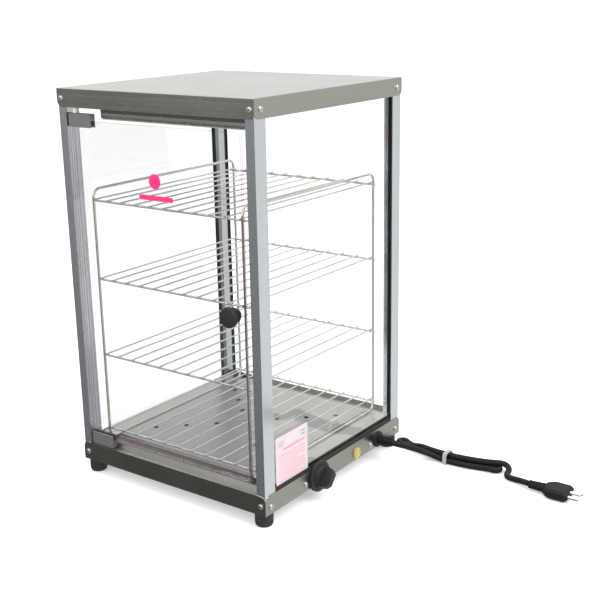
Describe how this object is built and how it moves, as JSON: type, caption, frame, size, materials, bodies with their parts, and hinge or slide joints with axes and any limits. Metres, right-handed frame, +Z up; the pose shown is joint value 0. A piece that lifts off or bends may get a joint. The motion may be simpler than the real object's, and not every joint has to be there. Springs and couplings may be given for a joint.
{
  "type": "hot food display case",
  "caption": "Countertop heated food display case: square stainless housing, four glass sides, hinged glass door, wire shelf rack, thermostat dial, pilot lamp and power cord.",
  "frame": {"origin": "on the counter, at the centre of the four feet", "axes": "+Z up, -Y towards the glass door, +X towards the side with the thermostat dial and the power cord"},
  "size_m": [0.6723, 0.3761, 0.58],
  "materials": {
    "stainless": "brushed",
    "stainless_column": "bright brushed",
    "stainless_floor": "brushed",
    "plated_wire": "polished",
    "galvanised": "dull",
    "clip_metal": "satin",
    "screw_steel": "satin",
    "glass": "clear",
    "seal_rubber": "matte",
    "foot_rubber": "matte",
    "black_plastic": "fine texture",
    "nylon": "satin",
    "amber_lens": "translucent",
    "brass": "satin",
    "wire_insulation": "satin",
    "cord_rubber": "satin",
    "tie_plastic": "satin"
  },
  "bodies": {
    "case": {"base_housing": "stainless", "lid_housing": "stainless", "front_top_rail": "stainless", "base_bottom_cover": "galvanised", "ceiling_liner": "galvanised", "element_brackets": "galvanised", "column_front_left": "stainless_column", "column_front_right": "stainless_column", "column_back_left": "stainless_column", "column_back_right": "stainless_column", "foot_front_left": "foot_rubber", "foot_front_right": "foot_rubber", "foot_back_left": "foot_rubber", "foot_back_right": "foot_rubber", "foot_screws": "screw_steel", "plate_screws": "screw_steel", "case_screws": "screw_steel", "panel_screws": "screw_steel", "plug_pins": "screw_steel", "side_glass_left": "glass", "side_glass_right": "glass", "back_glass": "glass", "side_seal_left": "seal_rubber", "side_seal_right": "seal_rubber", "back_seal": "seal_rubber", "glass_edge_seals": "seal_rubber", "floor_pan": "stainless_floor", "perforated_plate": "stainless_floor", "rack_side_frame_left": "plated_wire", "rack_side_frame_right": "plated_wire", "rack_shelf_1": "plated_wire", "rack_shelf_2": "plated_wire", "rack_shelf_3": "plated_wire", "rack_shelf_4": "plated_wire", "hinge_bushes": "nylon", "thermostat_body": "black_plastic", "pilot_lamp_body": "black_plastic", "cord_gland": "black_plastic", "gland_nut": "black_plastic", "terminal_block": "black_plastic", "sensor_bulb": "brass", "heating_element": "galvanised", "pilot_lamp": "amber_lens", "internal_wires": "wire_insulation", "cord_boot": "cord_rubber", "power_cord_start": "cord_rubber", "power_cord_tail": "cord_rubber", "cord_hank": "cord_rubber", "plug_boot": "cord_rubber", "plug_body": "cord_rubber", "cord_tie": "tie_plastic"},
    "door": {"door_glass": "glass", "door_clip_top": "clip_metal", "door_clip_bottom": "clip_metal", "door_pivot_pins": "screw_steel", "clip_set_screws": "screw_steel", "door_knob": "black_plastic", "door_knob_fixing": "screw_steel"},
    "thermostat_dial": {"thermostat_knob": "black_plastic", "thermostat_shaft": "screw_steel"}
  },
  "joints": [
    {"name": "door_hinge", "type": "hinge", "parent": "case", "child": "door", "pos_m": [-0.147, -0.167, 0.3], "axis": [0, 0, -1], "range_deg": [0, 110]},
    {"name": "thermostat_turn", "type": "hinge", "parent": "case", "child": "thermostat_dial", "pos_m": [0.175, -0.0515, 0.0333], "axis": [1, 0, 0], "range_deg": [-300, 0]}
  ]
}
